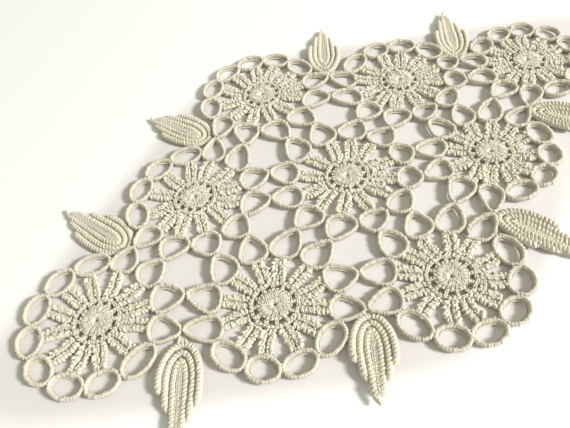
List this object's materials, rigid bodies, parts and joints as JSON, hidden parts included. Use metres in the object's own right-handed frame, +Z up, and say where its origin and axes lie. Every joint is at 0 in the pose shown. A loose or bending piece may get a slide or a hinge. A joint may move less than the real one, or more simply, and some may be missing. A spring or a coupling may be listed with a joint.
{
  "type": "crochet doily",
  "caption": "Flat openwork crochet doily in cream cotton: round flowers edged with rings, joined in a slanted field, with pointed ribbed leaves standing out around it.",
  "frame": {"origin": "middle of the doily's outline, on the surface it lies on", "axes": "+X along the rows of flowers, to the right; +Y towards the back row, which stands further right; +Z up"},
  "size_m": [0.3622, 0.2978, 0.0066],
  "materials": {
    "flower_cotton": "matte unbleached cotton crochet thread",
    "leaf_cotton": "matte unbleached cotton crochet thread"
  },
  "bodies": {
    "root": {"flower_1_1": "flower_cotton", "flower_1_2": "flower_cotton", "flower_1_3": "flower_cotton", "flower_2_1": "flower_cotton", "flower_2_2": "flower_cotton", "flower_2_3": "flower_cotton", "flower_3_1": "flower_cotton", "flower_3_2": "flower_cotton", "flower_3_3": "flower_cotton", "leaf_front_left": "leaf_cotton", "leaf_front_right": "leaf_cotton", "leaf_right_front": "leaf_cotton", "leaf_right_back": "leaf_cotton", "leaf_back_right": "leaf_cotton", "leaf_back_left": "leaf_cotton", "leaf_left_back": "leaf_cotton", "leaf_left_front": "leaf_cotton"}
  },
  "joints": []
}
